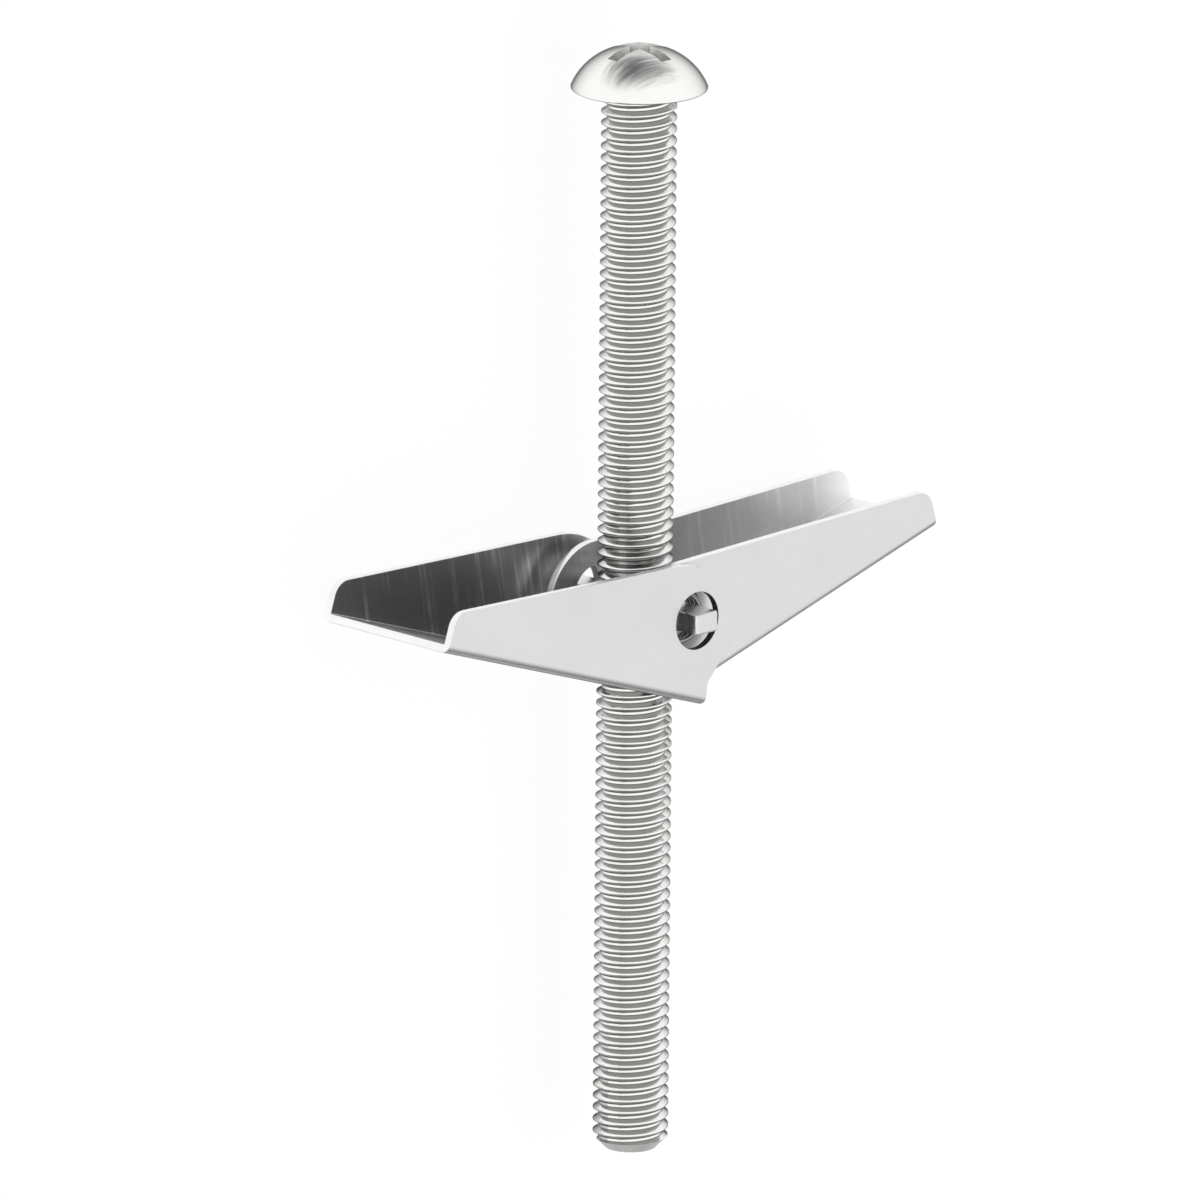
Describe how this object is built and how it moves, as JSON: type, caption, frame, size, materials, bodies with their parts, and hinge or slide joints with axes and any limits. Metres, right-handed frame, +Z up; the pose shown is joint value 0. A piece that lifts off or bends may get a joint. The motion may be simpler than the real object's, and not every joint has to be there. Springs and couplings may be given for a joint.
{
  "type": "grab bar anchor",
  "caption": "Spring-wing toggle bolt: round-head machine screw with a cross recess, a trunnion nut on its thread, and nested folded channel wings that spring open behind a hollow wall.",
  "frame": {"origin": "on the ground under the middle of the object, where it lies on the lower hinge peg, the head's rim and a wing tip", "axes": "+Y along the screw towards its head, +X towards the inner wing's tip, +Z up along the hinge pegs"},
  "size_m": [0.059, 0.0943, 0.0172],
  "materials": {
    "screw_zinc": "bright zinc-plated steel, rolled thread",
    "nut_zinc": "zinc-plated steel, pressed",
    "spring_wire": "drawn spring steel wire",
    "wing_zinc": "zinc-plated sheet steel, satin with faint drawing marks"
  },
  "bodies": {
    "screw": {"screw": "screw_zinc"},
    "nut": {"trunnion_nut": "nut_zinc", "torsion_spring": "spring_wire"},
    "outer_wing": {"outer_wing": "wing_zinc"},
    "inner_wing": {"inner_wing": "wing_zinc"}
  },
  "joints": [
    {"name": "nut_travel", "type": "slide", "parent": "screw", "child": "nut", "axis": [0, 1, 0], "range_m": [-0.041, 0.0135]},
    {"name": "outer_wing_fold", "type": "hinge", "parent": "nut", "child": "outer_wing", "pos_m": [-0.0006, -0.00057, 0.0086], "axis": [0, 0, 1], "range_deg": [-75, 0], "stiffness_Nm_per_rad": 0.01, "springref_deg": 57.3, "deforming": ["torsion_spring"]},
    {"name": "inner_wing_fold", "type": "hinge", "parent": "nut", "child": "inner_wing", "pos_m": [-0.0006, -0.00057, 0.0086], "axis": [0, 0, 1], "range_deg": [0, 75], "stiffness_Nm_per_rad": 0.01, "springref_deg": -57.3, "deforming": ["torsion_spring"]}
  ]
}
